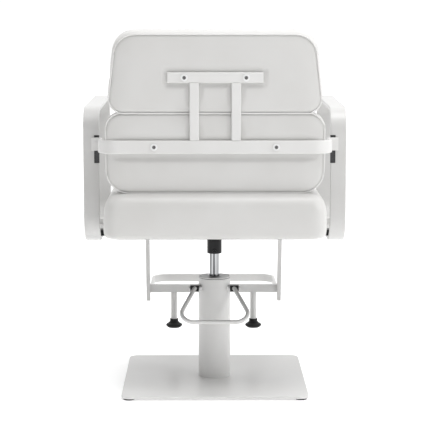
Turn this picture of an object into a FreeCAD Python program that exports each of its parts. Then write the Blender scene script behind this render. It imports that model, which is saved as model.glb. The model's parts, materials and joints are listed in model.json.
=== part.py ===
import FreeCAD, Part
import math
import os
import re
import Sketcher

# A hydraulic salon styling chair. Origin: centre of the footprint, on the floor.
# +Z is up, the sitter faces -Y, and +X is at the sitter's left hand.

SIZES = {
    # square floor plate and its glides
    "plate_side": 450, "plate_thick": 6, "plate_corner": 22, "plate_edge": 1.5, "glide_radius": 14,
    "glide_tall": 4, "glide_inset": 19,
    # column around the pump
    "cover_radius": 40, "cover_wall": 2.5, "cover_top": 260.5, "foot_radius": 34, "foot_thick": 12,
    "foot_bolt_ring": 24, "foot_bolt_radius": 4, "foot_bolt_deep": 10, "ball_radius": 3, "tank_radius": 33,
    "tank_wall": 2.5, "bore_radius": 14, "bore_wall": 4, "tank_top": 196, "gasket_tall": 1.2,
    "cap_tall": 3, "cap_radius": 39, "cap_edge": 1, "bush_wall": 1.5, "bush_start": 30.3, "bush_long": 8.2,
    "gland_neck": 13, "gland_flange": 16, "gland_lip": 14.5, "gland_lip_tall": 2.5, "gland_deep": 10,
    "gland_gap": 2, "gland_top": 269.5, "seal_radius": 14, "seal_tall": 3,
    # piston rod, and the running clearance of every moving fit
    "rod_radius": 11.7, "rod_spigot": 7, "piston_bottom": 76, "piston_tall": 16, "rod_top": 345,
    "piston_seal_up": 6, "piston_seal_tall": 4, "ring_tall": 3, "ring_radius": 10, "running_gap": 0.05,
    "stop_gap": 0.3,
    # foot lever
    "shaft_radius": 4.5, "shaft_back": 20, "shaft_level": 236.5, "hub_start": 39.0, "hub_end": 60.5,
    "hub_tall": 15, "hub_deep": 18, "hub_round": 2, "bail_start": 6, "bail_rise": 5, "bail_radius": 5.2,
    "bail_reach": 131, "bail_slope": 32, "bail_top_half": 48.5, "bail_corner_half": 95, "bail_corner": 32,
    "end_screw_radius": 2, "end_screw_long": 12, "end_screw_head": 2.5, "cam_half": 6, "cam_collar": 2.5,
    "cam_under": 3, "cam_reach": 11.5, "cam_tall": 8, "cam_room": 9, "cam_gap": 0.25, "plunger_radius": 2.8,
    "plunger_back": 28.5, "plunger_bottom": 212, "spring_bottom": 200, "coil_radius": 2.1,
    "wire_radius": 0.45, "coil_turns": 5,
    # seat
    "seat_wide": 524, "seat_front": 290, "seat_rear": 262, "seat_bottom": 392, "seat_top": 495,
    "seat_round": 30, "board_thick": 15, "board_inset": 16, "board_corner": 25, "lining_thick": 1,
    "sleeve_radius": 18.2, "sleeve_bottom": 322.5, "mount_wide": 220, "mount_deep": 104, "mount_thick": 5,
    "mount_corner": 12, "mount_bolt_inset": 20, "mount_bolt_radius": 4, "seat_screw_radius": 3,
    "screw_bite": 11, "sleeve_screw_radius": 3, "sleeve_screw_long": 8, "sleeve_screw_up": 6,
    "crossbar_wide": 30, "crossbar_tall": 14, "crossbar_half": 302, "crossbar_rear": 68,
    "crossbar_front": 150, "crossbar_wall": 2, "crossbar_screw_half": 200,
    # arm loops: a flat band bent to a rounded rectangle
    "arm_outer": 314, "arm_wide": 38, "arm_thick": 10, "arm_rear": 150, "arm_front": 290, "arm_bottom": 368,
    "arm_top_rear": 694, "arm_top_front": 706, "arm_upper_round": 55, "arm_lower_round": 66,
    "notch_wide": 12, "notch_bottom": 562.5, "notch_tall": 67, "socket_thick": 6, "arm_bolt_radius": 4,
    "strap_bolt_radius": 3, "strap_bolt_head": 2.5,
    # back frame of flat bar, and the two back pads
    "bar_thick": 8, "edge_round": 2.2, "strap_level": 608.5, "strap_tall": 31, "strap_rear": 240,
    "strap_side_half": 271, "strap_end_half": 294, "strap_bend": 43, "strap_tab_bend": 8,
    "post_wide": 22, "post_half": 48.5, "post_long": 135, "top_bar_tall": 24, "top_bar_half": 111,
    "back_lean": 5, "pad_thick": 88, "pad_round": 30, "pad_corner": 38, "upper_pad_corner": 50,
    "pad_rear_round": 29, "pad_seam_gap": 0.8, "pad_skin": 0.3, "lower_pad_half": 257.5,
    "lower_pad_bottom": 126, "lower_pad_top": 63, "upper_pad_half": 253, "upper_pad_top_half": 241,
    "upper_pad_top": 253, "back_board_thick": 12, "back_board_inset": 35, "back_board_cover": 4,
    "back_board_corner": 15, "back_screw_radius": 3, "back_screw_head": 1.2, "back_screw_deep": 14,
    "strap_screw_half": 142, "top_screw_half": 71.4, "washer_radius": 8.2, "washer_thick": 2.2,
    # footrest
    "hanger_half": 181, "hanger_thick": 10, "hanger_wide": 26, "hanger_top_front": 215,
    "hanger_low_front": 275, "hanger_low": 151, "rest_bar_tall": 21, "rest_bar_low": 174.5,
    "rest_bar_front": 267, "rest_bar_thick": 12, "rest_bow_front": 440, "rest_bow_thick": 8,
    "rest_bow_round": 46, "leg_radius": 8.6, "leg_half": 107, "leg_socket": 12, "shoe_radius": 22,
    "shoe_low": 78, "shoe_top": 102, "flange_long": 70, "flange_thick": 5, "flange_screw_near": 22,
    "flange_screw_far": 52, "rest_bolt_radius": 3, "rest_bolt_long": 30,
}

doc = FreeCAD.newDocument("styling_chair")
sheet = doc.addObject("Spreadsheet::Sheet", "Sizes")
for row, (alias, size) in enumerate(SIZES.items(), start=1):
    sheet.set(f"A{row}", str(size))
    sheet.setAlias(f"A{row}", alias)
working = doc.addObject("Spreadsheet::Sheet", "Working")
doc.recompute()

subparts = []


def formula(text):
    """Turn 'plate_side / 2' into the expression 'Sizes.plate_side / 2'."""
    return re.sub(r"[a-z][a-z_]+", lambda word: "Sizes." + word.group() if word.group() in SIZES
                  else word.group(), str(text))


def size(text):
    """The number that a formula gives with the sizes in the sheet now."""
    working.set("A1", "=" + formula(text))
    working.recompute()
    return float(working.A1)


def bind(item, **formulas):
    for name, text in formulas.items():
        item.setExpression(name, formula(text))
    return item


def place(item, x=0, y=0, z=0):
    for name, text in (("x", x), ("y", y), ("z", z)):
        item.setExpression("Placement.Base." + name, formula(text))
    return item


def turn(item, axis, degrees):
    """Turn an item about an axis; degrees may be a formula."""
    item.Placement = FreeCAD.Placement(FreeCAD.Vector(), FreeCAD.Rotation(FreeCAD.Vector(*axis), 1))
    item.setExpression("Placement.Rotation.Angle", formula(degrees))
    return item


def node(item, label):
    """Name a finished sub-part: the label is its node name and its file name."""
    item.Label = label
    subparts.append(item)
    return item


def box(x, y, z, length, width, height):
    item = bind(doc.addObject("Part::Box", "Box"), Length=length, Width=width, Height=height)
    return place(item, x, y, z)


ALONG = {"z": ((0, 0, 1), 0), "x": ((0, 1, 0), 90), "y": ((1, 0, 0), -90)}


def cylinder(radius, length, x=0, y=0, z=0, along="z"):
    item = bind(doc.addObject("Part::Cylinder", "Cylinder"), Radius=radius, Height=length)
    turn(item, *ALONG[along])
    return place(item, x, y, z)


def cone(radius_start, radius_end, length, x=0, y=0, z=0, along="z"):
    item = bind(doc.addObject("Part::Cone", "Cone"), Radius1=radius_start, Radius2=radius_end, Height=length)
    turn(item, *ALONG[along])
    return place(item, x, y, z)


def fuse(*items):
    joined = doc.addObject("Part::MultiFuse", "Fuse")
    joined.Shapes = list(items)
    joined.Refine = True
    return joined


def group(*items):
    together = doc.addObject("Part::Compound", "Group")
    together.Links = list(items)
    return together


def cut(base, *tools):
    for tool in tools:
        piece = doc.addObject("Part::Cut", "Cut")
        piece.Base = base
        piece.Tool = tool
        base = piece
    return base


def rounded(item, radius, picks):
    """Fillet the edges of a Part object that the test picks, by their two ends."""
    doc.recompute()
    edges = [i for i, edge in enumerate(item.Shape.Edges, start=1) if picks(edge)]
    fillet = doc.addObject("Part::Fillet", "Fillet")
    fillet.Base = item
    fillet.Edges = [(i, size(radius), size(radius)) for i in edges]
    return fillet


def runs_along(edge, axis):
    ends = [vertex.Point for vertex in edge.Vertexes]
    if len(ends) < 2:
        return False
    step = ends[1] - ends[0]
    others = [abs(getattr(step, name)) for name in "xyz" if name != axis]
    return max(others) < 1e-6 < abs(getattr(step, axis))


def plane_of(body, role):
    return next(item for item in body.Origin.OriginFeatures if item.Role == role)


def outline(body, role, points, offset=0):
    """A closed sketch whose corner coordinates are formulas, on one of the body's own planes."""
    sketch = body.newObject("Sketcher::SketchObject", "Outline")
    sketch.AttachmentSupport = (plane_of(body, role), "")
    sketch.MapMode = "FlatFace"
    sketch.setExpression("AttachmentOffset.Base.z", formula(offset))
    numbers = [FreeCAD.Vector(size(x), size(y), 0) for x, y in points]
    count = len(numbers)
    for i in range(count):
        sketch.addGeometry(Part.LineSegment(numbers[i], numbers[(i + 1) % count]), False)
    for i in range(count):
        sketch.addConstraint(Sketcher.Constraint("Coincident", i, 2, (i + 1) % count, 1))
    for i, (x, y) in enumerate(points):
        for kind, text in (("DistanceX", x), ("DistanceY", y)):
            row = sketch.addConstraint(Sketcher.Constraint(kind, -1, 1, i, 1, size(text)))
            sketch.setExpression(f"Constraints[{row}]", formula(text))
    return sketch


def pad(body, sketch, length):
    feature = body.newObject("PartDesign::Pad", "Pad")
    feature.Profile = sketch
    return bind(feature, Length=length)


def soften(body, radius, picks):
    """A PartDesign fillet on the body's edges that the test picks."""
    doc.recompute()
    tip = body.Tip
    edges = [f"Edge{i}" for i, edge in enumerate(tip.Shape.Edges, start=1) if picks(edge)]
    feature = body.newObject("PartDesign::Fillet", "Fillet")
    feature.Base = (tip, edges)
    bind(feature, Radius=radius)
    doc.recompute()
    return feature


def revolve(profile):
    """A body turned about Z; the profile is (radius, level) pairs of formulas."""
    body = doc.addObject("PartDesign::Body", "Body")
    sketch = outline(body, "XZ_Plane", profile)
    feature = body.newObject("PartDesign::Revolution", "Turned")
    feature.Profile = sketch
    feature.ReferenceAxis = (sketch, ["V_Axis"])
    feature.Angle = 360
    return body


def bent_path(points, radii):
    """A wire of straight runs joined by tangent arcs, with one radius for each inner point."""
    edges = []
    start = points[0]
    for before, corner, after, radius in zip(points, points[1:], points[2:], radii):
        inward = (before - corner).normalize()
        outward = (after - corner).normalize()
        half = inward.getAngle(outward) / 2
        setback = radius / math.tan(half)
        middle = corner + (inward + outward).normalize() * (radius / math.sin(half) - radius)
        first, last = corner + inward * setback, corner + outward * setback
        edges.append(Part.LineSegment(start, first).toShape())
        edges.append(Part.Arc(first, middle, last).toShape())
        start = last
    edges.append(Part.LineSegment(start, points[-1]).toShape())
    return Part.Wire(edges)


def swept(path, section):
    solid = path.makePipeShell([section], True, False)
    item = doc.addObject("Part::Feature", "Swept")
    item.Shape = solid
    return item


def both_sides(make):
    """The piece made at the left, and the one made at the right."""
    return [make(side) for side in (1, -1)]


def signed(side, text):
    return text if side > 0 else f"-({text})"


# ---------------------------------------------------------------- floor plate

def floor_plate():
    body = doc.addObject("PartDesign::Body", "Body")
    half = "plate_side / 2"
    corners = [("-" + half, "-" + half), (half, "-" + half), (half, half), ("-" + half, half)]
    pad(body, outline(body, "XY_Plane", corners, "glide_tall"), "plate_thick")
    soften(body, "plate_corner", lambda edge: runs_along(edge, "z"))
    top = size("glide_tall + plate_thick")
    soften(body, "plate_edge", lambda edge: min(v.Z for v in edge.Vertexes) > top - 0.01)
    return node(cut(body, group(*foot_bolt_shapes())), "base_plate")


def around_ring(make, count, ring):
    """Pieces spaced evenly on a circle about Z, starting at 45 degrees."""
    made = []
    for i in range(count):
        angle = 45 + i * 360 // count
        made.append(make(f"{ring} * cos({angle})", f"{ring} * sin({angle})"))
    return made


def foot_bolt(x, y):
    shank = cylinder("foot_bolt_radius", "plate_thick + foot_bolt_deep", x, y, "glide_tall")
    head = cone("foot_bolt_radius * 2", "foot_bolt_radius", "foot_bolt_radius", x, y, "glide_tall")
    return fuse(shank, head)


def foot_bolt_shapes():
    return around_ring(foot_bolt, 4, "foot_bolt_ring")


def floor_glides():
    reach = "plate_side / 2 - glide_inset"
    glides = []
    for side_x in (1, -1):
        for side_y in (1, -1):
            x, y = signed(side_x, reach), signed(side_y, reach)
            glides.append(cylinder("glide_radius", "glide_tall", x, y))
    node(group(*glides), "base_glides")


# ---------------------------------------------------------------- pump, fixed pieces

def tube(outer, inner, low, tall):
    return cut(cylinder(outer, tall, z=low), cylinder(inner, tall, z=low))


PLATE_TOP = "glide_tall + plate_thick"
FOOT_TOP = "glide_tall + plate_thick + foot_thick"


def pump_body():
    foot = cut(cylinder("foot_radius", "foot_thick", z=PLATE_TOP), group(*foot_bolt_shapes()),
               cylinder("ball_radius + running_gap", "ball_radius * 2", z=FOOT_TOP + " - ball_radius * 2"))
    node(foot, "pump_foot")
    node(group(*foot_bolt_shapes()), "pump_foot_bolts")
    ball = bind(doc.addObject("Part::Sphere", "Ball"), Radius="ball_radius")
    node(place(ball, z=FOOT_TOP + " - ball_radius"), "inlet_valve_ball")
    tank_tall = "tank_top - glide_tall - plate_thick - foot_thick"
    node(tube("tank_radius", "tank_radius - tank_wall", FOOT_TOP, tank_tall), "oil_reservoir")
    node(tube("bore_radius + bore_wall", "bore_radius", FOOT_TOP, tank_tall), "pump_cylinder")


def on_shaft(radius, start, long):
    """A cylinder on the foot lever's axis, from X = start."""
    return cylinder(radius, long, start, "shaft_back", "shaft_level", "x")


def pump_head():
    head = cylinder("tank_radius", "cover_top - tank_top - gland_gap", z="tank_top")
    rod_bore = cylinder("rod_radius + running_gap", "cover_top", z=0)
    gland_seat = cylinder("gland_flange", "gland_deep", z="cover_top - gland_deep")
    shaft_bore = on_shaft("shaft_radius + running_gap", "-cover_radius", "cover_radius * 2")
    cam_front = "shaft_back - shaft_radius - cam_collar - cam_gap"
    cam_room = box("-cam_half - 1", cam_front, "shaft_level - cam_room",
                   "cam_half * 2 + 2", "tank_radius", "cam_room * 2")
    plunger_bore = cylinder("plunger_radius + running_gap", "shaft_level - spring_bottom", 0, "plunger_back",
                            "spring_bottom")
    node(cut(head, rod_bore, gland_seat, shaft_bore, cam_room, plunger_bore), "pump_head")


def gland():
    base = "cover_top - gland_deep"
    inner = "rod_radius + running_gap"
    shoulder = "cover_top - gland_gap"
    lip = "gland_top - gland_lip_tall"
    nut = revolve([(inner, base), ("gland_flange", base), ("gland_flange", shoulder),
                   ("gland_neck", shoulder), ("gland_neck", lip), ("gland_lip", lip),
                   ("gland_lip", "gland_top"), (inner, "gland_top")])
    node(cut(nut, cylinder("seal_radius", "seal_tall", z=base)), "gland_nut")
    node(tube("seal_radius", inner, base, "seal_tall"), "rod_wiper_seal")


def column_shell():
    tall = "cover_top - glide_tall - plate_thick"
    cover = tube("cover_radius", "cover_radius - cover_wall", PLATE_TOP, tall)
    shaft_holes = on_shaft("shaft_radius + bush_wall", "-cover_radius", "cover_radius * 2")
    node(cut(cover, shaft_holes), "column_cover")
    bushes = []
    for start in ("bush_start", "-bush_start - bush_long"):
        bushes.append(cut(on_shaft("shaft_radius + bush_wall", start, "bush_long"),
                          on_shaft("shaft_radius + running_gap", start, "bush_long")))
    node(group(*bushes), "lever_bushes")
    hole = "gland_neck + running_gap"
    node(tube("cap_radius - 1", hole, "cover_top", "gasket_tall"), "column_gasket")
    cap = tube("cap_radius", hole, "cover_top + gasket_tall", "cap_tall")
    top = size("cover_top + gasket_tall + cap_tall")
    edge_radius = size("cap_radius")
    node(rounded(cap, "cap_edge", lambda edge: abs(edge.BoundBox.ZMin - top) < 0.01
                 and edge.BoundBox.XLength > edge_radius), "column_cap")


# ---------------------------------------------------------------- foot lever and plunger

def lever_shaft():
    shaft = on_shaft("shaft_radius", "-hub_end", "hub_end * 2")
    screw_holes = []
    screws = []
    for side in (1, -1):
        inner_end = "hub_end - end_screw_long" if side > 0 else "-hub_end"
        head_end = "hub_end" if side > 0 else "-hub_end - end_screw_head"
        screw_holes.append(on_shaft("end_screw_radius", inner_end, "end_screw_long"))
        screws.append(fuse(on_shaft("end_screw_radius", inner_end, "end_screw_long"),
                           on_shaft("end_screw_radius * 2", head_end, "end_screw_head")))
    node(cut(shaft, *screw_holes), "lever_shaft")
    node(group(*screws), "lever_end_screws")


def lever_cam():
    wide = "cam_half * 2"
    collar = on_shaft("shaft_radius + cam_collar", "-cam_half", wide)
    nose = box("-cam_half", "shaft_back", "shaft_level - cam_under", wide, "cam_reach", "cam_tall")
    # behind the shaft the collar ends at the nose's lower face, so that it stays clear of the plunger
    clearance = box("-cam_half", "shaft_back + shaft_radius", "shaft_level - cam_room",
                    wide, "cam_reach", "cam_room - cam_under")
    node(cut(fuse(collar, nose), clearance, on_shaft("shaft_radius", "-cam_half", wide)), "lever_cam")


def hub_block(side):
    start = "hub_start" if side > 0 else "-hub_end"
    block = box(start, "shaft_back - hub_deep / 2", "shaft_level - hub_tall / 2",
                "hub_end - hub_start", "hub_deep", "hub_tall")
    return rounded(block, "hub_round", lambda edge: runs_along(edge, "x"))


def lever_bail():
    """The stirrup: a round rod from one hub, out and down to the tread bar, and back."""
    slope = math.radians(size("bail_slope"))
    out = FreeCAD.Vector(0, math.cos(slope), -math.sin(slope))
    start = FreeCAD.Vector(0, size("shaft_back"), size("shaft_level + bail_rise"))
    points = []
    for half, along in (("bail_top_half", "bail_start"), ("bail_corner_half", "bail_reach")):
        points.append(start + out * size(along) + FreeCAD.Vector(size(half), 0, 0))
    points += [FreeCAD.Vector(-point.x, point.y, point.z) for point in reversed(points)]
    path = bent_path(points, [size("bail_corner")] * 2)
    direction = (points[1] - points[0]).normalize()
    ring = Part.Wire(Part.makeCircle(size("bail_radius"), points[0], direction))
    return swept(path, ring)


def foot_lever():
    hubs = group(*both_sides(hub_block))
    node(cut(hubs, on_shaft("shaft_radius", "-hub_end", "hub_end * 2")), "lever_hubs")
    node(cut(lever_bail(), group(*both_sides(hub_block))), "lever_bail")


def plunger():
    top = "shaft_level - cam_under - stop_gap"
    node(cylinder("plunger_radius", top + " - plunger_bottom", 0, "plunger_back", "plunger_bottom"),
         "pump_plunger")
    coil_radius, wire_radius = size("coil_radius"), size("wire_radius")
    tall = size("plunger_bottom - spring_bottom - 2 * wire_radius")
    helix = Part.makeHelix(tall / size("coil_turns"), tall, coil_radius)
    ring = Part.Wire(Part.makeCircle(wire_radius, FreeCAD.Vector(coil_radius, 0, 0), FreeCAD.Vector(0, 1, 0)))
    spring = doc.addObject("Part::Feature", "Spring")
    spring.Shape = Part.Wire(helix.Edges).makePipeShell([ring], True, True)
    low = size("spring_bottom + wire_radius")
    spring.Placement = FreeCAD.Placement(FreeCAD.Vector(0, size("plunger_back"), low), FreeCAD.Rotation())
    node(spring, "plunger_spring")


# ---------------------------------------------------------------- piston and rod

def piston():
    hole = "rod_spigot + running_gap"
    wall = "bore_radius - running_gap"
    groove = "bore_radius - 2"
    seal_low = "piston_bottom + piston_seal_up"
    seal_high = seal_low + " + piston_seal_tall"
    head = revolve([(hole, "piston_bottom + stop_gap"), (wall, "piston_bottom + stop_gap"), (wall, seal_low),
                    (groove, seal_low), (groove, seal_high), (wall, seal_high),
                    (wall, "piston_bottom + piston_tall"), (hole, "piston_bottom + piston_tall")])
    node(head, "piston_head")
    node(tube(wall, groove, seal_low, "piston_seal_tall"), "piston_seal")


def piston_rod():
    shoulder = "piston_bottom + piston_tall + stop_gap"
    foot = "piston_bottom - ring_tall - 2"
    rod = revolve([("0", foot), ("rod_spigot", foot), ("rod_spigot", shoulder), ("rod_radius", shoulder),
                   ("rod_radius", "rod_top - 2"), ("rod_radius - 1", "rod_top"), ("0", "rod_top")])
    ring_low = "piston_bottom - ring_tall"
    node(cut(rod, tube("rod_spigot", "rod_spigot - 1", ring_low, "ring_tall")), "piston_rod")
    node(tube("ring_radius", "rod_spigot - 1", ring_low, "ring_tall"), "piston_retaining_ring")


# ---------------------------------------------------------------- seat support

def sleeve_screw():
    level = "sleeve_bottom + sleeve_screw_up"
    radius = "sleeve_screw_radius"
    return fuse(cylinder(radius, "sleeve_screw_long", 0, "rod_radius", level, "y"),
                cylinder(radius + " * 1.5", radius + " * 2", 0, "sleeve_radius - 0.5", level, "y"))


def seat_sleeve():
    under_plate = "seat_bottom - mount_thick"
    body = revolve([("rod_radius", "sleeve_bottom"), ("sleeve_radius - 1", "sleeve_bottom"),
                    ("sleeve_radius", "sleeve_bottom + 1"), ("sleeve_radius", under_plate),
                    ("0", under_plate), ("0", "rod_top"), ("rod_radius - 1", "rod_top"),
                    ("rod_radius", "rod_top - 2")])
    node(cut(body, sleeve_screw()), "seat_sleeve")
    node(sleeve_screw(), "sleeve_screw")


def up_bolt(x, y, low, radius, through):
    """A bolt driven upwards through 'through' and on into the board, with its head under the level 'low'."""
    head_tall = f"{radius} * 1.3"
    return fuse(cylinder(f"{radius} * 1.6", head_tall, x, y, f"{low} - {head_tall}"),
                cylinder(radius, f"{through} + screw_bite", x, y, low))


def mount_bolts():
    made = []
    for side_x in (1, -1):
        for side_y in (1, -1):
            made.append(up_bolt(signed(side_x, "mount_wide / 2 - mount_bolt_inset"),
                                signed(side_y, "mount_deep / 2 - mount_bolt_inset"),
                                "seat_bottom - mount_thick", "mount_bolt_radius", "mount_thick"))
    return made


def crossbar_screws():
    made = []
    for y in ("crossbar_rear", "-crossbar_front"):
        for side in (1, -1):
            made.append(up_bolt(signed(side, "crossbar_screw_half"), y, "seat_bottom - crossbar_tall",
                                "seat_screw_radius", "crossbar_tall"))
    return made


def hanger_screws():
    made = []
    for side in (1, -1):
        for half in ("hanger_half - flange_screw_near", "hanger_half - flange_screw_far"):
            made.append(up_bolt(signed(side, half), "-hanger_top_front", "seat_bottom - flange_thick",
                                "seat_screw_radius", "flange_thick"))
    return made


def arm_bolts():
    """Countersunk bolts through the bottom of each arm, into the crossbars."""
    made = []
    radius = "arm_bolt_radius"
    for y in ("crossbar_rear", "-crossbar_front"):
        for side in (1, -1):
            half = signed(side, "arm_outer - arm_wide / 2")
            made.append(fuse(cone(radius + " * 2", radius, radius, half, y, "arm_bottom"),
                             cylinder(radius, "arm_thick * 2", half, y, "arm_bottom")))
    return made


def crossbar(label, y):
    """A square tube across the underside of the seat, from arm to arm."""
    long, wide, tall, wall = "crossbar_half * 2", "crossbar_wide", "crossbar_tall", "crossbar_wall"
    near, low = f"{y} - {wide} / 2", f"seat_bottom - {tall}"
    bar = box("-crossbar_half", near, low, long, wide, tall)
    hollow = box("-crossbar_half", f"{near} + {wall}", f"{low} + {wall}",
                 long, f"{wide} - 2 * {wall}", f"{tall} - 2 * {wall}")
    node(cut(bar, hollow, group(*crossbar_screws()), group(*arm_bolts())), label)


def seat_support():
    seat_sleeve()
    plate = box("-mount_wide / 2", "-mount_deep / 2", "seat_bottom - mount_thick",
                "mount_wide", "mount_deep", "mount_thick")
    plate = rounded(plate, "mount_corner", lambda edge: runs_along(edge, "z"))
    node(cut(plate, group(*mount_bolts())), "seat_mount_plate")
    node(group(*mount_bolts()), "mount_plate_bolts")
    crossbar("crossbar_rear", "crossbar_rear")
    crossbar("crossbar_front", "-crossbar_front")
    node(group(*crossbar_screws(), *hanger_screws()), "seat_screws")
    node(group(*arm_bolts()), "arm_bolts")


def seat():
    front, rear = "-seat_front", "seat_rear"
    wide, deep = "seat_wide", "seat_front + seat_rear"
    inset = "board_inset"

    def slab(low, tall):
        item = box(f"-{wide} / 2 + {inset}", f"{front} + {inset}", low, f"{wide} - 2 * {inset}",
                   f"{deep} - 2 * {inset}", tall)
        return rounded(item, "board_corner", lambda edge: runs_along(edge, "z"))

    fixings = [group(*mount_bolts()), group(*crossbar_screws()), group(*hanger_screws())]
    node(cut(slab("seat_bottom", "lining_thick"), *fixings), "seat_underlining")
    node(cut(slab("seat_bottom + lining_thick", "board_thick"), *fixings), "seat_board")
    cushion = box(f"-{wide} / 2", front, "seat_bottom", wide, deep, "seat_top - seat_bottom")
    cushion = rounded(cushion, "seat_round", lambda edge: runs_along(edge, "z"))
    top = size("seat_top")
    cushion = rounded(cushion, "seat_round - 1", lambda edge: edge.BoundBox.ZMin > top - 0.01)
    room = [slab("seat_bottom", "lining_thick"), slab("seat_bottom + lining_thick", "board_thick")]
    node(cut(cushion, *room, *fixings), "seat_cushion")


# ---------------------------------------------------------------- arms

def slab(role, points, offset, depth, rounds):
    """A flat body from an outline; 'rounds' pairs a test for corner edges with their radius."""
    body = doc.addObject("PartDesign::Body", "Body")
    pad(body, outline(body, role, points, offset), depth)
    for picks, radius in rounds:
        soften(body, radius, picks)
    return body


def arm_slab(inset, start, wide):
    """The side view of an arm as a solid slab, moved inwards by 'inset' all round."""
    front, rear = f"-arm_front + {inset}", f"arm_rear - {inset}"
    points = [(front, f"arm_bottom + {inset}"), (rear, f"arm_bottom + {inset}"),
              (rear, f"arm_top_rear - {inset}"), (front, f"arm_top_front - {inset}")]
    middle = size("arm_bottom + arm_top_rear") / 2

    def upper(edge):
        return runs_along(edge, "x") and edge.Vertexes[0].Z > middle

    def lower(edge):
        return runs_along(edge, "x") and edge.Vertexes[0].Z < middle

    rounds = [(upper, f"arm_upper_round - {inset}"), (lower, f"arm_lower_round - {inset}")]
    return slab("YZ_Plane", points, start, wide, rounds)


def arm(side):
    start = "arm_outer - arm_wide" if side > 0 else "-arm_outer"
    loop = cut(arm_slab("0", start, "arm_wide"), arm_slab("arm_thick", start + " - 1", "arm_wide + 2"))
    loop = rounded(loop, "edge_round", lambda edge: edge.BoundBox.XLength < 0.01)
    notch_start = "arm_outer - arm_wide" if side > 0 else "-arm_outer + arm_wide - notch_wide"
    notch = box(notch_start, "arm_rear - arm_thick - 1", "notch_bottom", "notch_wide", "arm_thick + 2",
                "notch_tall")
    name = "left" if side > 0 else "right"
    node(cut(loop, notch, group(*arm_bolts())), "arm_" + name)
    socket = box(notch_start, "arm_rear - arm_thick", "notch_bottom",
                 "notch_wide", "socket_thick", "notch_tall")
    node(cut(socket, group(*strap_bolts())), "strap_socket_" + name)


def strap_bolts():
    """One bolt through each end of the strap, into its socket on the arm."""
    made = []
    for side in (1, -1):
        x = signed(side, "arm_outer - arm_wide + notch_wide / 2")
        made.append(fuse(cylinder("strap_bolt_radius", "arm_thick + bar_thick", x, "arm_rear - arm_thick",
                                  "strap_level", "y"),
                         cylinder("strap_bolt_radius * 1.7", "strap_bolt_head", x, "arm_rear + bar_thick",
                                  "strap_level", "y")))
    return made


# ---------------------------------------------------------------- back frame

def bar_section(centre, thick, tall, radius):
    """A rectangle with rounded corners in the YZ plane, to sweep along X."""
    corners = [FreeCAD.Vector(centre.x, centre.y + y * thick / 2, centre.z + z * tall / 2)
               for y, z in ((-1, -1), (1, -1), (1, 1), (-1, 1))]
    start = (corners[0] + corners[1]) / 2
    return bent_path([start] + corners[1:] + [corners[0], start], [radius] * 4)


def strap():
    """Flat bar behind the lower pad; both ends bend forwards to the arms."""
    middle, tab = size("strap_rear + bar_thick / 2"), size("arm_rear + bar_thick / 2")
    side, end = size("strap_side_half"), size("strap_end_half")
    half = [FreeCAD.Vector(end, tab, 0), FreeCAD.Vector(side, tab, 0), FreeCAD.Vector(side, middle, 0)]
    points = half + [FreeCAD.Vector(-point.x, point.y, 0) for point in reversed(half)]
    tab_bend, bend = size("strap_tab_bend"), size("strap_bend")
    path = bent_path(points, [tab_bend, bend, bend, tab_bend])
    bar = swept(path, bar_section(points[0], size("bar_thick"), size("strap_tall"), size("edge_round")))
    bar.Placement = FreeCAD.Placement(FreeCAD.Vector(0, 0, size("strap_level")), FreeCAD.Rotation())
    node(cut(bar, group(*strap_bolts()), group(*back_screws())), "back_strap")


LEAN_LEVEL = "strap_level + strap_tall / 2"


def leaning(item, x, up, behind):
    """Place an item in the plane of the back: 'up' along it, and 'behind' it."""
    turn(item, (1, 0, 0), "-back_lean")
    return place(item, x, f"strap_rear + ({up}) * sin(back_lean) + ({behind}) * cos(back_lean)",
                 f"{LEAN_LEVEL} + ({up}) * cos(back_lean) - ({behind}) * sin(back_lean)")


def leaning_box(x, up, behind, length, thick, tall):
    item = bind(doc.addObject("Part::Box", "Box"), Length=length, Width=thick, Height=tall)
    return leaning(item, x, up, behind)


def back_frame():
    strap()
    for side, label in ((1, "left"), (-1, "right")):
        x = "post_half - post_wide / 2" if side > 0 else "-post_half - post_wide / 2"
        foot = "bar_thick * sin(back_lean)"
        post = leaning_box(x, foot, "0", "post_wide", "bar_thick", f"post_long - {foot}")
        node(rounded(post, "edge_round", lambda edge: edge.Length > size("post_wide")), "back_post_" + label)
    bar = leaning_box("-top_bar_half", "post_long", "0", "top_bar_half * 2", "bar_thick", "top_bar_tall")
    bar = rounded(bar, "edge_round", lambda edge: True)
    node(cut(bar, group(*back_screws())), "back_top_bar")
    node(group(*back_screws()), "back_screws")
    node(group(*back_washers()), "back_washers")


TOP_SCREW_UP = "post_long + top_bar_tall / 2"


def leaning_pin(radius, start, long, x):
    """A cylinder square to the top bar, from 'start' behind the back plane, 'long' rearwards."""
    item = bind(doc.addObject("Part::Cylinder", "Pin"), Radius=radius, Height=long)
    leaning(item, x, TOP_SCREW_UP, start)
    item.setExpression("Placement.Rotation.Angle", formula("-90 - back_lean"))
    return item


def back_screws():
    """Four small socket screws: two through the strap, two through the top bar."""
    head_start = "bar_thick + washer_thick"
    made = []
    for pin, half in ((strap_pin, "strap_screw_half"), (leaning_pin, "top_screw_half")):
        for side in (1, -1):
            x = signed(side, half)
            head = pin("back_screw_radius * 1.35", head_start, "back_screw_head", x)
            shank = pin("back_screw_radius", "-back_screw_deep", "back_screw_deep + " + head_start, x)
            socket = pin("back_screw_radius * 0.7", head_start + " + 0.2", "back_screw_head", x)
            made.append(cut(fuse(head, shank), socket))
    return made


def strap_pin(radius, start, long, x):
    """A level cylinder through the strap, from 'start' behind the back plane, 'long' rearwards."""
    return cylinder(radius, long, x, f"strap_rear + {start}", "strap_level", "y")


def back_washers():
    made = []
    for pin, half in ((strap_pin, "strap_screw_half"), (leaning_pin, "top_screw_half")):
        for side in (1, -1):
            x = signed(side, half)
            made.append(cut(pin("washer_radius", "bar_thick", "washer_thick", x),
                            pin("back_screw_radius", "bar_thick", "washer_thick", x)))
    return made


# ---------------------------------------------------------------- back pads

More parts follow.
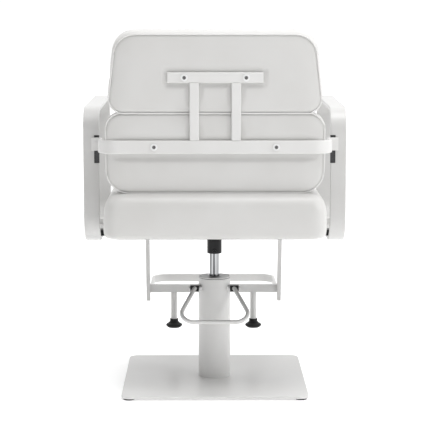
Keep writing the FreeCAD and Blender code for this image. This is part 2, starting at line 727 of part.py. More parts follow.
def pad_body(shape, thick, behind, low_corner, high_corner, front_round="", rear_round=""):
    """A slab in the plane of the back, with its rear face 'behind' the plane."""
    low_half, high_half, low, high = shape
    body = doc.addObject("PartDesign::Body", "Body")
    corners = [(f"-({low_half})", low), (low_half, low), (high_half, high), (f"-({high_half})", high)]
    pad(body, outline(body, "XZ_Plane", corners), thick)
    middle = size(f"({low}) / 2 + ({high}) / 2")
    soften(body, low_corner, lambda edge: runs_along(edge, "y") and edge.Vertexes[0].Z < middle)
    soften(body, high_corner, lambda edge: runs_along(edge, "y") and edge.Vertexes[0].Z > middle)
    faces = body.Shape.BoundBox
    if front_round:
        soften(body, front_round, lambda edge: edge.BoundBox.YMax < faces.YMin + 0.01)
    if rear_round:
        soften(body, rear_round, lambda edge: edge.BoundBox.YMin > faces.YMax - 0.01)
    return leaning(body, "0", "0", behind)


def back_pads():
    """Two pads with a board in each; the lower one is rounded behind, where the strap bends round it."""
    seam = "pad_seam_gap / 2"
    inset = "back_board_inset"
    lower = ("lower_pad_half", "lower_pad_half", "-lower_pad_bottom", "lower_pad_top - " + seam)
    upper = ("upper_pad_half", "upper_pad_top_half", "lower_pad_top + " + seam, "upper_pad_top")
    for label, shape, high_corner, rear_round in (("lower", lower, "pad_corner", "pad_rear_round"),
                                                  ("upper", upper, "upper_pad_corner", "")):
        low_half, high_half, low, high = shape

        def board():
            halves = (f"{low_half} - {inset}", f"{high_half} - {inset}")
            levels = (f"{low} + {inset}", f"{high} - {inset}")
            corner = "back_board_corner"
            return pad_body(halves + levels, "back_board_thick", "-back_board_cover", corner, corner)

        node(cut(board(), group(*back_screws())), f"back_board_{label}")
        cushion = pad_body(shape, "pad_thick", "-pad_skin", "pad_corner", high_corner, "pad_round",
                           rear_round)
        node(cut(cushion, board(), group(*back_screws())), f"back_cushion_{label}")


# ---------------------------------------------------------------- footrest

def hanger(side):
    body = doc.addObject("PartDesign::Body", "Body")
    start = "hanger_half - hanger_thick" if side > 0 else "-hanger_half"
    half_wide = "hanger_wide / 2"
    shape = [("-hanger_low_front - " + half_wide, "hanger_low"),
             ("-hanger_low_front + " + half_wide, "hanger_low"),
             ("-hanger_top_front + " + half_wide, "seat_bottom"),
             ("-hanger_top_front - " + half_wide, "seat_bottom")]
    pad(body, outline(body, "YZ_Plane", shape, start), "hanger_thick")
    flange_start = "hanger_half - flange_long" if side > 0 else "-hanger_half + hanger_thick"
    flange = box(flange_start, "-hanger_top_front - hanger_wide / 2", "seat_bottom - flange_thick",
                 "flange_long - hanger_thick", "hanger_wide", "flange_thick")
    name = "left" if side > 0 else "right"
    node(cut(fuse(body, flange), group(*hanger_screws()), group(*both_sides(rest_bolt))),
         "footrest_hanger_" + name)


def rest_bolt(side):
    """A countersunk bolt through a hanger, into the end of the footrest bar."""
    level = "rest_bar_low + rest_bar_tall / 2"
    y = "-rest_bar_front"
    radius, long = "rest_bolt_radius", "rest_bolt_long"
    if side > 0:
        return fuse(cone(radius, radius + " * 2", radius, f"hanger_half - {radius}", y, level, "x"),
                    cylinder(radius, long, f"hanger_half - {long}", y, level, "x"))
    return fuse(cone(radius + " * 2", radius, radius, "-hanger_half", y, level, "x"),
                cylinder(radius, long, "-hanger_half", y, level, "x"))


def bow_slab(inset, start, tall):
    """The bow seen from above as a solid slab; only its front and sides move in by 'inset'."""
    half = f"hanger_half - hanger_thick - stop_gap - {inset}"
    rear = f"-rest_bar_front - rest_bar_thick / 2 + {inset}"
    front = f"-rest_bow_front + {inset}"
    points = [(f"-({half})", front), (half, front), (half, rear), (f"-({half})", rear)]
    middle = size("-rest_bow_front / 2 - rest_bar_front / 2")

    def at_front(edge):
        return runs_along(edge, "z") and edge.Vertexes[0].Y < middle

    return slab("XY_Plane", points, start, tall, [(at_front, f"rest_bow_round - {inset}")])


def footrest():
    for side in (1, -1):
        hanger(side)
    inner_half = "hanger_half - hanger_thick"
    bar = box(f"-({inner_half})", "-rest_bar_front - rest_bar_thick / 2",
              "rest_bar_low", f"2 * ({inner_half})", "rest_bar_thick", "rest_bar_tall")
    node(cut(bar, group(*both_sides(rest_bolt))), "footrest_bar")

    bow = cut(bow_slab("0", "rest_bar_low", "rest_bar_tall"),
              bow_slab("rest_bow_thick", "rest_bar_low - 1", "rest_bar_tall + 2"))
    bow = rounded(bow, "edge_round", lambda edge: edge.BoundBox.ZLength < 0.01)
    node(bow, "footrest_bow")

    for side, name in ((1, "left"), (-1, "right")):
        x = signed(side, "leg_half")
        y = "-rest_bar_front"
        leg_low = "shoe_low + leg_socket"
        node(cylinder("leg_radius", f"rest_bar_low - ({leg_low})", x, y, leg_low), "footrest_leg_" + name)
        neck = "leg_radius + 2.5"
        shoe = revolve([("0", "shoe_low"), ("shoe_radius - 6", "shoe_low"),
                        ("shoe_radius - 1", "shoe_low + 4"), ("shoe_radius", "shoe_low + 7"),
                        ("shoe_radius - 2", "shoe_low + 10"), ("shoe_radius - 7", "shoe_low + 12.5"),
                        (neck, "shoe_low + 17"), (neck, "shoe_top"), ("leg_radius", "shoe_top"),
                        ("leg_radius", leg_low), ("0", leg_low)])
        node(place(shoe, x, y, "0"), "footrest_shoe_" + name)
    node(group(*both_sides(rest_bolt)), "footrest_bolts")


# ---------------------------------------------------------------- build and export

floor_plate()
floor_glides()
pump_body()
pump_head()
gland()
column_shell()
lever_shaft()
lever_cam()
foot_lever()
plunger()
piston()
piston_rod()
seat_support()
seat()
for arm_side in (1, -1):
    arm(arm_side)
node(group(*strap_bolts()), "strap_bolts")
back_frame()
back_pads()
footrest()
doc.recompute()

for item in doc.Objects:
    if "Invalid" in item.State or "Error" in item.State:
        raise RuntimeError(f"{item.Label} failed: {item.State}")
for item in subparts:
    if item.Shape.isNull() or not item.Shape.isValid() or not item.Shape.Solids:
        raise RuntimeError(f"{item.Label} has no valid solid")

os.makedirs("parts", exist_ok=True)
for item in subparts:
    item.Shape.exportStep(f"parts/{item.Label}.step")
print(len(subparts), "sub-parts written")
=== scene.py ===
"""Looks for the salon styling chair: upholstery, piping, finishes, studio and camera."""

import json
import math

import bpy
from mathutils import Matrix, Vector
from mathutils.kdtree import KDTree


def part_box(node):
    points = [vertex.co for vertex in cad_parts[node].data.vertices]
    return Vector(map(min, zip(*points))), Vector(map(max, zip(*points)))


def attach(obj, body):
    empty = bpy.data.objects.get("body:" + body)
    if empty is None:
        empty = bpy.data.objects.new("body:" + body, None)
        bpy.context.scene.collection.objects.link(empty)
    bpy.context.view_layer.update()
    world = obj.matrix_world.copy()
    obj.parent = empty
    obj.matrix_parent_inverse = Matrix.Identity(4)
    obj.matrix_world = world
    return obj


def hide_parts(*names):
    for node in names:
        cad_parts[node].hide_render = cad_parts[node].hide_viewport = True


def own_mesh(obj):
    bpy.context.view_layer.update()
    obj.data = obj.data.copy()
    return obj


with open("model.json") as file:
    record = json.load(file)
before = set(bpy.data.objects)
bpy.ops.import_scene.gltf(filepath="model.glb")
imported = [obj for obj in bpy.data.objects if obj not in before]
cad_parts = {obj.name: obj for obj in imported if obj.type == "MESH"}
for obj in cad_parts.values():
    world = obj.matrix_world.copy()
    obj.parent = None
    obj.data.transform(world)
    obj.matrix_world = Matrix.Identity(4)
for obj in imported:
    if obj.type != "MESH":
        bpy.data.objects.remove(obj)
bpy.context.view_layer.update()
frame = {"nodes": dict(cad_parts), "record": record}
MM = 0.001


# ------------------------------------------------------------------ shader helpers

NOISE_SPAN = (0.3, 0.7)     # the values that a noise texture mostly keeps to
FULL_SPAN = (0.0, 1.0)


class Shader:
    """A small builder for a procedural material."""

    def __init__(self, name):
        self.material = bpy.data.materials.new(name)
        self.material.use_nodes = True
        self.tree = self.material.node_tree
        self.principled = self.tree.nodes["Principled BSDF"]
        self.position = self.add("ShaderNodeTexCoord").outputs["Object"]

    def add(self, kind, **settings):
        node = self.tree.nodes.new(kind)
        for name, value in settings.items():
            setattr(node, name, value)
        return node

    def link(self, source, target):
        self.tree.links.new(source, target)

    def set(self, **values):
        for name, value in values.items():
            self.principled.inputs[name.replace("_", " ")].default_value = value
        return self

    def noise(self, scale, detail=3.0, roughness=0.5, stretch=None):
        """A cloudy pattern; 'stretch' scales it along each axis, and a small value draws it out."""
        node = self.add("ShaderNodeTexNoise")
        node.inputs["Scale"].default_value = scale
        node.inputs["Detail"].default_value = detail
        node.inputs["Roughness"].default_value = roughness
        self.link(self.stretched(stretch), node.inputs["Vector"])
        return node.outputs["Fac"]

    def stretched(self, stretch):
        if stretch is None:
            return self.position
        mapping = self.add("ShaderNodeMapping")
        mapping.inputs["Scale"].default_value = stretch
        self.link(self.position, mapping.inputs["Vector"])
        return mapping.outputs["Vector"]

    def cells(self, scale):
        """How far each spot lies from the edge of its cell."""
        node = self.add("ShaderNodeTexVoronoi", feature="DISTANCE_TO_EDGE")
        node.inputs["Scale"].default_value = scale
        self.link(self.position, node.inputs["Vector"])
        return node.outputs["Distance"]

    def range(self, factor, low, high, span):
        """A value that runs from low to high as the factor crosses the span."""
        node = self.add("ShaderNodeMapRange")
        for name, value in (("From Min", span[0]), ("From Max", span[1]), ("To Min", low), ("To Max", high)):
            node.inputs[name].default_value = value
        self.link(factor, node.inputs["Value"])
        return node.outputs["Result"]

    def colour(self, factor, low, high, span=NOISE_SPAN):
        """A base colour that runs from low to high as the factor crosses the span."""
        node = self.add("ShaderNodeValToRGB")
        for stop, position, colour in zip(node.color_ramp.elements, span, (low, high)):
            stop.position = position
            stop.color = (*colour, 1)
        self.link(factor, node.inputs["Fac"])
        self.link(node.outputs["Color"], self.principled.inputs["Base Color"])
        return self

    def rough(self, factor, low, high, span=NOISE_SPAN):
        """A roughness that runs from low to high as the factor crosses the span."""
        self.link(self.range(factor, low, high, span), self.principled.inputs["Roughness"])
        return self

    def bump(self, *layers):
        """Stack bump layers, each (height socket, distance in millimetres, strength)."""
        normal = None
        for height, distance, strength in layers:
            node = self.add("ShaderNodeBump")
            node.inputs["Distance"].default_value = distance * MM
            node.inputs["Strength"].default_value = strength
            self.link(height, node.inputs["Height"])
            if normal is not None:
                self.link(normal, node.inputs["Normal"])
            normal = node.outputs["Normal"]
        self.link(normal, self.principled.inputs["Normal"])
        return self


def grey(value, warmth=0.0):
    """A near-neutral colour; warmth takes a little out of the blue."""
    return (value, value * (1 - 0.3 * warmth), value * (1 - warmth))


# ------------------------------------------------------------------ finishes

def powder_coat(name, low, high):
    """Satin powder coat: faint orange peel, and a slight change of gloss where hands rub it."""
    shader = Shader(name).set(Coat_Weight=0.25, Coat_Roughness=0.18)
    peel = shader.noise(900, 2)
    cloud = shader.noise(9, 4)
    shader.colour(cloud, low, high)
    shader.rough(cloud, 0.34, 0.46)
    return shader.bump((peel, 0.06, 0.35))


def white_paint():
    return powder_coat("white_paint", grey(0.68, 0.025), grey(0.72, 0.015))


def shaded_arm_paint():
    """The arms' coat: the frame's powder coat made a shade greyer, as painted shade for the arms, which stand
    in less light than the frame.
    """
    return powder_coat("shaded_arm_paint", grey(0.57, 0.025), grey(0.61, 0.015))


def white_plastic():
    shader = Shader("white_plastic").set(Coat_Weight=0.1)
    grain = shader.noise(1600, 2)
    cloud = shader.noise(25, 3)
    shader.colour(cloud, grey(0.80), grey(0.84))
    shader.rough(cloud, 0.25, 0.36)
    return shader.bump((grain, 0.03, 0.3))


def vinyl(name, low, high):
    """Upholstery vinyl: a fine pebbled grain, soft creases, and a broad satin sheen."""
    shader = Shader(name).set(Specular_IOR_Level=0.5, Sheen_Weight=0.06)
    pebbles = shader.cells(620)
    pores = shader.noise(2400, 2)
    creases = shader.noise(34, 5, 0.6, (1.0, 1.0, 1.6))
    cloud = shader.noise(6, 3)
    shader.colour(cloud, low, high)
    shader.rough(creases, 0.34, 0.46)
    grain = shader.range(pebbles, 0.0, 1.0, span=(0.0, 0.16))
    return shader.bump((creases, 0.5, 0.08), (grain, 0.1, 0.22), (pores, 0.04, 0.2))


def white_vinyl():
    return vinyl("white_vinyl", grey(0.60, 0.035), grey(0.64, 0.025))


def piping_vinyl():
    return vinyl("piping_vinyl", grey(0.70, 0.025), grey(0.74, 0.02))


def chrome():
    """Chrome with painted reflections: long dark and bright streaks painted into its colour run down the rod.
    """
    shader = Shader("chrome").set(Metallic=1.0)
    haze = shader.noise(60, 3)
    painted_reflection_bands = shader.noise(170, 1, 0.4, (1.0, 1.0, 0.01))
    scratches = shader.noise(420, 2, 0.5, (1.0, 1.0, 0.03))
    # painted reflection: the colour runs from near black to grey in long streaks down the rod, standing in
    # for the studio mirrored in it
    shader.colour(painted_reflection_bands, (0.05, 0.05, 0.052), (0.52, 0.53, 0.54), span=(0.38, 0.62))
    shader.rough(haze, 0.05, 0.11)
    return shader.bump((scratches, 0.02, 0.15))


def turned_steel():
    shader = Shader("steel").set(Metallic=1.0)
    lathe = shader.noise(700, 2, 0.5, (0.05, 0.05, 1.0))
    shader.colour(lathe, (0.40, 0.40, 0.41), (0.54, 0.54, 0.55))
    shader.rough(lathe, 0.28, 0.42)
    return shader.bump((lathe, 0.04, 0.3))


def zinc_steel():
    shader = Shader("zinc_steel").set(Metallic=0.55)
    cloud = shader.noise(160, 3)
    shader.colour(cloud, (0.74, 0.74, 0.74), (0.84, 0.84, 0.84))
    shader.rough(cloud, 0.22, 0.36)
    return shader.bump((shader.noise(1200, 2), 0.03, 0.3))


def black_steel():
    shader = Shader("black_steel").set(Coat_Weight=0.04, Specular_IOR_Level=0.22)
    cloud = shader.noise(40, 3)
    shader.colour(cloud, (0.006, 0.006, 0.007), (0.014, 0.014, 0.015))
    shader.rough(cloud, 0.28, 0.42)
    return shader.bump((shader.noise(900, 2), 0.06, 0.4))


def worn_steel():
    """The back screws' heads, greyer than the other black steel where the driver has worn them."""
    shader = Shader("worn_steel").set(Specular_IOR_Level=0.3)
    cloud = shader.noise(400, 3)
    shader.colour(cloud, grey(0.12), grey(0.18))
    shader.rough(cloud, 0.4, 0.55)
    return shader.bump((shader.noise(900, 2), 0.06, 0.4))


def cast_iron():
    shader = Shader("cast_iron").set(Metallic=0.6)
    sand = shader.noise(300, 6, 0.7)
    shader.colour(sand, (0.06, 0.06, 0.062), (0.12, 0.12, 0.125))
    shader.rough(sand, 0.5, 0.7)
    return shader.bump((sand, 0.4, 0.5))


def black_rubber():
    shader = Shader("black_rubber").set(Specular_IOR_Level=0.2)
    dust = shader.noise(55, 5, 0.6)
    shader.colour(dust, (0.010, 0.010, 0.010), (0.026, 0.026, 0.026))
    shader.rough(dust, 0.42, 0.62)
    return shader.bump((shader.noise(1500, 3), 0.08, 0.4))


def black_cloth():
    """The thin non-woven cloth stapled under the seat."""
    shader = Shader("black_cloth")
    weave = shader.cells(900)
    cloud = shader.noise(20, 4)
    shader.colour(cloud, (0.016, 0.016, 0.017), (0.030, 0.030, 0.031))
    shader.rough(cloud, 0.85, 0.95, FULL_SPAN)
    return shader.bump((weave, 0.3, 0.6))


def plywood():
    shader = Shader("plywood")
    grain = shader.noise(40, 6, 0.65, (0.08, 1.0, 1.0))
    shader.colour(grain, (0.36, 0.23, 0.12), (0.62, 0.45, 0.27))
    shader.rough(grain, 0.6, 0.75, FULL_SPAN)
    return shader.bump((grain, 0.3, 0.4))


FINISHES = {
    "white_paint": white_paint, "white_plastic": white_plastic, "white_vinyl": white_vinyl, "chrome": chrome,
    "steel": turned_steel, "zinc_steel": zinc_steel, "black_steel": black_steel, "cast_iron": cast_iron,
    "black_rubber": black_rubber, "black_cloth": black_cloth, "plywood": plywood,
}
MATERIALS = {name: make().material for name, make in FINISHES.items()}
PIPING = piping_vinyl().material
# painted shade: the arms wear a darker copy of the frame's white paint
SHADED_ARM_PAINT = shaded_arm_paint().material
OWN_FINISH = {"arm_left": SHADED_ARM_PAINT, "arm_right": SHADED_ARM_PAINT, "back_screws": worn_steel().material}


def finish_cad_nodes():
    """A finish for every CAD piece, its own where it has one, and a fine bevel on the back's fastenings."""
    slots = {row["node"]: row["material_slot"] for row in frame["record"]["subparts"]}
    for name, node in frame["nodes"].items():
        node.data.materials.clear()
        node.data.materials.append(OWN_FINISH.get(name) or MATERIALS[slots[name]])
    for name in ("back_washers", "back_screws", "strap_bolts"):
        bevel = frame["nodes"][name].modifiers.new("edge", "BEVEL")
        bevel.width = 0.7 * MM
        bevel.segments = 2


def squash_spring():
    """Give the plunger's return spring a mesh of its own; the spring, which shortens as the plunger goes
    down, is not reshaped here.
    """
    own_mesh(frame["nodes"]["plunger_spring"])


# ------------------------------------------------------------------ mesh helpers

def new_object(name, mesh, material, body):
    piece = bpy.data.objects.new(name, mesh)
    bpy.context.scene.collection.objects.link(piece)
    mesh.materials.clear()
    mesh.materials.append(material)
    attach(piece, body)
    return piece


def smooth(mesh):
    mesh.polygons.foreach_set("use_smooth", [True] * len(mesh.polygons))
    return mesh


def apply_modifiers(piece):
    """Bake the piece's modifiers into its mesh."""
    evaluated = piece.evaluated_get(bpy.context.evaluated_depsgraph_get())
    baked = bpy.data.meshes.new_from_object(evaluated)
    piece.modifiers.clear()
    old = piece.data
    piece.data = baked
    bpy.data.meshes.remove(old)


def closed_tube(name, points, radius, material, body, sides=10):
    """A tube along a closed loop of points."""
    steepest = 0.2      # below this, the path runs too nearly upright for 'across' to be taken from Z
    rings = len(points)
    vertices, faces = [], []
    for i, point in enumerate(points):
        tangent = (points[(i + 1) % rings] - points[i - 1]).normalized()
        across = tangent.cross(Vector((0, 0, 1)))
        if across.length < steepest:
            across = tangent.cross(Vector((0, 1, 0)))
        across.normalize()
        upward = across.cross(tangent)
        for k in range(sides):
            angle = 2 * math.pi * k / sides
            vertices.append(point + across * radius * math.cos(angle) + upward * radius * math.sin(angle))
    for i in range(rings):
        for k in range(sides):
            j, n = (i + 1) % rings, (k + 1) % sides
            faces.append((i * sides + k, j * sides + k, j * sides + n, i * sides + n))
    mesh = bpy.data.meshes.new(name)
    mesh.from_pydata(vertices, [], faces)
    return new_object(name, smooth(mesh), material, body)


# ------------------------------------------------------------------ upholstery

LEAN = math.radians(5)
PIPING_RADIUS = 1.3 * MM
CORNER = 34 * MM            # the seat's corners and the upper pad's lower ones
LEAST_RADIUS = 3 * MM
STRAP_STRAIGHT = 200 * MM   # the strap is straight at least this far each side of its middle
PANEL_SHARES = (0.06, 0.14, 0.26, 0.42, 0.6, 0.8, 1.0)      # a panel's rings, from its seam to its middle
BAND_SHARES = (0.06, 0.16, 0.3, 0.5, 0.7, 0.84, 0.94)       # the side band's rings, from rear to front


def plane_of_back():
    """Axes with Y square to the back pads' rear faces, its zero on them at the height of the strap's top."""
    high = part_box("back_strap")[1]
    return Matrix.Translation((0, high.y - bar_thickness(), high.z)) @ Matrix.Rotation(-LEAN, 4, "X")


def bar_thickness():
    """The strap's thickness, found on its straight middle."""
    vertices = frame["nodes"]["back_strap"].data.vertices
    depths = [vertex.co.y for vertex in vertices if abs(vertex.co.x) < STRAP_STRAIGHT]
    return max(depths) - min(depths)


BACK_PLANE = plane_of_back()


def bounds_in(node, plane):
    """(low, high) corners of a CAD node in a plane's own axes."""
    inverse = plane.inverted()
    spots = [inverse @ vertex.co for vertex in frame["nodes"][node].data.vertices]
    return (Vector([min(spot[i] for spot in spots) for i in range(3)]),
            Vector([max(spot[i] for spot in spots) for i in range(3)]))


BAR_NODES = ("back_top_bar", "back_post_left", "back_post_right", "back_strap")
BARS = [bounds_in(node, BACK_PLANE) for node in BAR_NODES]


def gap_to_bars(x, z):
    """How far a spot in the plane of the back lies from the nearest bar."""
    return min(math.hypot(max(low.x - x, 0, x - high.x), max(low.z - z, 0, z - high.z)) for low, high in BARS)


def ease(value):
    """0 below 0, 1 above 1, and a smooth step between."""
    t = min(max(value, 0.0), 1.0)
    return t * t * (3 - 2 * t)


def crown(share):
    """The part of its full height that a panel has reached, this share of the way in from its seam."""
    return math.sin(math.pi / 2 * min(1, share))


def dense(points, step=4 * MM):
    """The same closed loop, its long stretches cut into parts of about 'step'."""
    result = []
    for i, point in enumerate(points):
        following = points[(i + 1) % len(points)]
        parts = max(1, int((following - point).length / step))
        result += [point.lerp(following, k / parts) for k in range(parts)]
    return result


def kd_tree(points):
    tree = KDTree(len(points))
    for i, point in enumerate(points):
        tree.insert(point, i)
    tree.balance()
    return tree


def rounded_loop(low, high, radii, taper=0.0, steps=8):
    """Points round a rectangle with (lower, upper) corner radii; 'taper' narrows each side at its top."""
    points = []
    for side_x, side_z, start in ((1, 1, 0), (-1, 1, 90), (-1, -1, 180), (1, -1, 270)):
        radius = max(radii[0 if side_z < 0 else 1], LEAST_RADIUS)
        edge_x = (high[0] if side_x > 0 else low[0]) - side_x * (taper if side_z > 0 else 0)
        edge_z = high[1] if side_z > 0 else low[1]
        for i in range(steps + 1):
            angle = math.radians(start + 90 * i / steps)
            points.append((edge_x - side_x * radius + radius * math.cos(angle),
                           edge_z - side_z * radius + radius * math.sin(angle)))
    return points


def loft(name, rings):
    """A closed mesh through rings of equal point count, with both ends capped."""
    count = len(rings[0])
    vertices = [point for ring in rings for point in ring]
    faces = [tuple(range(count))[::-1], tuple(range(len(vertices) - count, len(vertices)))]
    for r in range(len(rings) - 1):
        for k in range(count):
            n = (k + 1) % count
            faces.append((r * count + k, r * count + n, (r + 1) * count + n, (r + 1) * count + k))
    mesh = bpy.data.meshes.new(name)
    mesh.from_pydata(vertices, [], faces)
    return mesh


def remesh(piece, voxel, relax):
    """Even small faces all over, then a little smoothing to take out the voxel steps."""
    modifier = piece.modifiers.new("even", "REMESH")
    modifier.mode = "VOXEL"
    modifier.voxel_size = voxel
    settle = piece.modifiers.new("relax", "SMOOTH")
    settle.factor = 0.5
    settle.iterations = relax
    apply_modifiers(piece)


def swell(piece, pinned, pressure):
    """Blow the cover up by cloth simulation; 'pinned' says how firmly a spot is held, from 0 to 1."""
    furthest = 5 * MM
    slack = 0.008       # how much larger than its first shape the cloth would like to be
    last_frame = 20
    rest = [vertex.co.copy() for vertex in piece.data.vertices]
    held = piece.vertex_groups.new(name="held")
    for i, spot in enumerate(rest):
        weight = pinned(spot)
        if weight > 0:
            held.add([i], min(weight, 1.0), "REPLACE")
    cloth = piece.modifiers.new("cloth", "CLOTH")
    cloth.settings.quality = 5
    cloth.settings.mass = 0.3
    cloth.settings.tension_stiffness = 12
    cloth.settings.compression_stiffness = 12
    cloth.settings.bending_stiffness = 0.6
    cloth.settings.use_pressure = True
    cloth.settings.uniform_pressure_force = pressure
    cloth.settings.shrink_min = -slack
    cloth.settings.vertex_group_mass = "held"
    cloth.settings.effector_weights.gravity = 0
    cloth.point_cache.frame_start = 1
    cloth.point_cache.frame_end = last_frame
    scene = bpy.context.scene
    for step in range(1, last_frame + 1):
        scene.frame_set(step)
    apply_modifiers(piece)
    for vertex, start in zip(piece.data.vertices, rest):
        move = vertex.co - start
        if move.length > furthest:
            vertex.co = start + move * (furthest / move.length)
    scene.frame_set(1)


def calm(piece, times):
    """Take the small ripples out of a simulated cover."""
    settle = piece.modifiers.new("calm", "SMOOTH")
    settle.factor = 0.5
    settle.iterations = times
    apply_modifiers(piece)


def finish_cover(piece, node):
    """One subdivision, smooth shading, and the cover stands in for its CAD block."""
    subdivide = piece.modifiers.new("fine", "SUBSURF")
    subdivide.levels = 1
    subdivide.render_levels = 1
    apply_modifiers(piece)
    smooth(piece.data)
    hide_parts(node)


def press_bars(piece, rear):
    """Let the rear panel swell a little round the bars that press on it, and lie flat under them."""
    panel_deep = 12 * MM
    pressed, rise = 0.4 * MM, 4.6 * MM
    margin, slope = 1.5 * MM, 15 * MM
    for vertex in piece.data.vertices:
        if vertex.co.y < rear - panel_deep:
            continue
        gap = gap_to_bars(vertex.co.x, vertex.co.z)
        vertex.co.y = min(vertex.co.y, rear - pressed + rise * ease((gap - margin) / slope))


def back_pad(name, node, radii, taper, insets, sag):
    """A stuffed pad: welted seams round its rear and front panels, and a swelling side band between.

    'radii' are those of its lower and upper corners, and 'taper' narrows each side at the top. 'insets' are
    how far the rear seam lies inside the pad's outline at the sides, the top and the bottom, and 'sag' is how
    far the band swells below that outline.
    """
    low, high = bounds_in(node, BACK_PLANE)
    front_insets = (10 * MM, 10 * MM, 10 * MM)
    crown_rear, crown_front = 5.5 * MM, 13 * MM
    rear_steepness, band_flatness = 1.6, 0.6
    seam_rear_y, seam_front_y = high.y - 2.5 * MM, low.y + 15 * MM
    innermost = (high.z - low.z) / 2 - 8 * MM

    def ring(insets, y):
        sides, top, bottom = insets
        shrink = max(min(insets), 0)
        points = rounded_loop((low.x + sides, low.z + bottom), (high.x - sides, high.z - top),
                              [radius - shrink for radius in radii], taper)
        return [Vector((x, y, z)) for x, z in points]

    def inward(insets, share):
        return [inset + (innermost - inset) * share for inset in insets]

    rings = []
    for share in reversed(PANEL_SHARES):
        rings.append(ring(inward(insets, share), seam_rear_y + crown_rear * crown(share * rear_steepness)))
    seam_rear = ring(insets, seam_rear_y)
    rings.append(seam_rear)
    for share in BAND_SHARES:
        reach = math.sin(math.pi * share) ** band_flatness
        sides, top, bottom = [inset * (1 - reach) for inset in (insets if share < 0.5 else front_insets)]
        y = seam_rear_y + (seam_front_y - seam_rear_y) * share
        rings.append(ring((sides, top, bottom - sag * reach), y))
    seam_front = ring(front_insets, seam_front_y)
    rings.append(seam_front)
    for share in PANEL_SHARES:
        rings.append(ring(inward(front_insets, share), seam_front_y - crown_front * crown(share)))
    piece = new_object(name, loft(name, rings), MATERIALS["white_vinyl"], "seat")
    remesh(piece, voxel=5 * MM, relax=3)
    tree = kd_tree(dense(seam_rear) + dense(seam_front))

    def pinned(spot):
        """The seams are held fast, and the rear panel, which lies against its board, nearly so."""
        near_seam = 1 - ease((tree.find(spot)[2] - 3 * MM) / (5 * MM))
        behind = 0.98 if spot.y > seam_rear_y + 1 * MM else 0.0
        return max(near_seam, behind)

    swell(piece, pinned, pressure=4.0)
    calm(piece, 8)
    press_bars(piece, high.y)
    finish_cover(piece, node)
    piece.data.transform(BACK_PLANE)
    for label, seam in (("rear", seam_rear), ("front", seam_front)):
        path = [BACK_PLANE @ point for point in dense(seam)]
        welt = closed_tube(f"{name}_piping_{label}", path, PIPING_RADIUS, PIPING, "seat")


def seat_pad():
    """The seat: a deep box cushion that rolls over at its top edges, crowned in the middle."""
    low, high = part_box("seat_cushion")
    roll_in, roll_down = 26 * MM, 44 * MM
    shoulder = high.z + 1 * MM
    crown_tall, crown_steepness = 6 * MM, 8
    bulge = 1.2 * MM
    roll_steps = 10
    innermost = (high.x - low.x) / 2 - 10 * MM

    def ring(inset, level):
        radii = [CORNER - inset * 0.4] * 2
        loop = rounded_loop((low.x + inset, low.y + inset), (high.x - inset, high.y - inset), radii)
        return [Vector((x, y, level)) for x, y in loop]

    # the lower edge tucks in a little
    rings = [ring(2.5 * MM, low.z + 0.3 * MM), ring(0.5 * MM, low.z + 4 * MM)]
    straight = shoulder - roll_down - low.z
    for share in (0.3, 0.6, 0.85):
        rings.append(ring(-bulge * math.sin(math.pi * share), low.z + straight * share))
    for step in range(roll_steps):
        angle = math.pi / 2 * step / roll_steps
        rings.append(ring(roll_in * (1 - math.cos(angle)), shoulder - roll_down * (1 - math.sin(angle))))
    for share in (0.0, 0.03, 0.06, 0.1, 0.2, 0.5, 1.0):
        inset = roll_in + (innermost - roll_in) * share
        rings.append(ring(inset, shoulder + crown_tall * crown(share * crown_steepness)))
    piece = new_object("seat_pad", loft("seat_pad", rings), MATERIALS["white_vinyl"], "seat")
    remesh(piece, voxel=6 * MM, relax=4)

    def pinned(spot):
        """The bottom edge is held fast, and the rest of the cover gives only a little."""
        return max(1 - ease((spot.z - low.z - 5 * MM) / (10 * MM)), 0.9)

    swell(piece, pinned, pressure=3.0)
    calm(piece, 10)
    for vertex in piece.data.vertices:
        vertex.co.z = max(vertex.co.z, low.z)
    finish_cover(piece, "seat_cushion")


# ------------------------------------------------------------------ studio

def studio():
    """A pale floor, a surround that is dimmer behind the camera, and three softboxes.

    Seen from the camera, the key stands to the right, the second hangs overhead, and a faint one low on the
    left lights the floor plate.
    """
    floor_shader = Shader("studio_floor").set(Roughness=0.9, Specular_IOR_Level=0.1)
    floor_shader.colour(floor_shader.noise(2, 2), grey(0.90), grey(0.92))
    floor_shader.set(Emission_Color=(1, 1, 1, 1), Emission_Strength=0.34)
    reach = 30
    corners = [(-reach, -reach, 0), (reach, -reach, 0), (reach, reach, 0), (-reach, reach, 0)]
    mesh = bpy.data.meshes.new("studio_floor")
    mesh.from_pydata(corners, [], [(0, 1, 2, 3)])
    mesh.materials.append(floor_shader.material)
    floor = bpy.data.objects.new("studio_floor", mesh)
    bpy.context.scene.collection.objects.link(floor)
    surround(dim_way=(0.38, 0.92, 0.0), dimmest=0.0, brightest=1.04, overhead=0.75)
    softbox("key", place=(-2.3, 1.2, 1.3), aim=(0, 0.1, 0.55), side=0.7, power=12)
    softbox("top", place=(-0.3, 0.9, 3.0), aim=(0, 0.2, 0.5), side=1.2, power=30)
    softbox("low_fill", place=(1.0, 1.7, 0.35), aim=(0, 0.05, 0.03), side=0.3, power=0.12, spread=30)
    bpy.context.scene.view_settings.view_transform = "Standard"


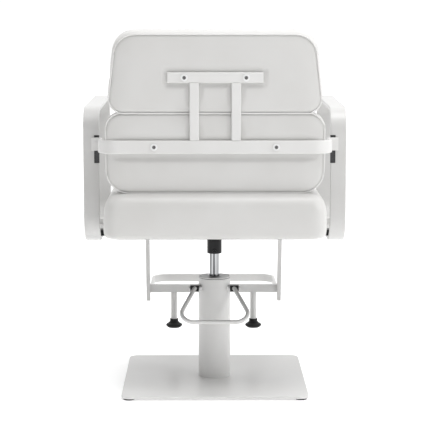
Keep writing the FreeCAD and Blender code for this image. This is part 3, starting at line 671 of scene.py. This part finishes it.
def surround(dim_way, dimmest, brightest, overhead):
    """A world that is dimmest one way along the horizon, bright the other way, and brighter overhead."""
    world = bpy.data.worlds.new("studio")
    bpy.context.scene.world = world
    world.use_nodes = True
    tree = world.node_tree
    way = tree.nodes.new("ShaderNodeTexCoord").outputs["Generated"]

    def along(vector):
        dot = tree.nodes.new("ShaderNodeVectorMath")
        dot.operation = "DOT_PRODUCT"
        tree.links.new(way, dot.inputs[0])
        dot.inputs[1].default_value = vector
        return dot.outputs["Value"]

    def mapped(socket, span, low, high):
        node = tree.nodes.new("ShaderNodeMapRange")
        node.interpolation_type = "SMOOTHSTEP"
        for name, value in (("From Min", span[0]), ("From Max", span[1]), ("To Min", low), ("To Max", high)):
            node.inputs[name].default_value = value
        tree.links.new(socket, node.inputs["Value"])
        return node.outputs["Result"]

    # each span is of the cosine of the angle to that way
    add = tree.nodes.new("ShaderNodeMath")
    tree.links.new(mapped(along(dim_way), (-0.9, 0.95), brightest, dimmest), add.inputs[0])
    tree.links.new(mapped(along((0, 0, 1)), (0.25, 0.95), 0.0, overhead), add.inputs[1])
    background = tree.nodes["Background"]
    background.inputs["Color"].default_value = (1, 1, 1, 1)
    # the backdrop itself is an even white; only the light it gives has a direction
    even = tree.nodes.new("ShaderNodeMix")
    tree.links.new(tree.nodes.new("ShaderNodeLightPath").outputs["Is Camera Ray"], even.inputs["Factor"])
    tree.links.new(add.outputs[0], even.inputs["A"])
    even.inputs["B"].default_value = brightest
    tree.links.new(even.outputs["Result"], background.inputs["Strength"])


def softbox(name, place, aim, side, power, spread=180):
    """A square light, its side in metres, its power in watts and its spread in degrees."""
    light = bpy.data.lights.new(name, "AREA")
    light.size = side
    light.spread = math.radians(spread)
    light.energy = power
    lamp = bpy.data.objects.new(name, light)
    lamp.location = place
    lamp.rotation_euler = (Vector(aim) - Vector(place)).to_track_quat("-Z", "Y").to_euler()
    bpy.context.scene.collection.objects.link(lamp)


def camera():
    """Behind the chair, a hair to its left, at the height of its top, looking slightly down."""
    distance, height = 3.668, 0.892
    look_down = math.radians(7.36)
    aside, turned_aside = 0.0075, 0.0004    # the camera's place round the column and its aim, in radians
    data = bpy.data.cameras.new("camera")
    data.sensor_width = 36
    data.lens = 123.8
    data.clip_end = 100
    eye = bpy.data.objects.new("camera", data)
    eye.location = (aside * distance, distance, height)
    eye.rotation_euler = (math.radians(90) - look_down, 0, math.pi - aside - turned_aside)
    bpy.context.scene.collection.objects.link(eye)
    bpy.context.scene.camera = eye


# ------------------------------------------------------------------ build

finish_cad_nodes()
squash_spring()
back_pad("back_pad_lower", "back_cushion_lower", radii=(52 * MM, 38 * MM), taper=0.0,
         insets=(3 * MM, -0.5 * MM, 1 * MM), sag=1 * MM)
back_pad("back_pad_upper", "back_cushion_upper", radii=(CORNER, 51 * MM), taper=12 * MM,
         insets=(4 * MM, 8 * MM, -1.5 * MM), sag=0.5 * MM)
seat_pad()
studio()
camera()
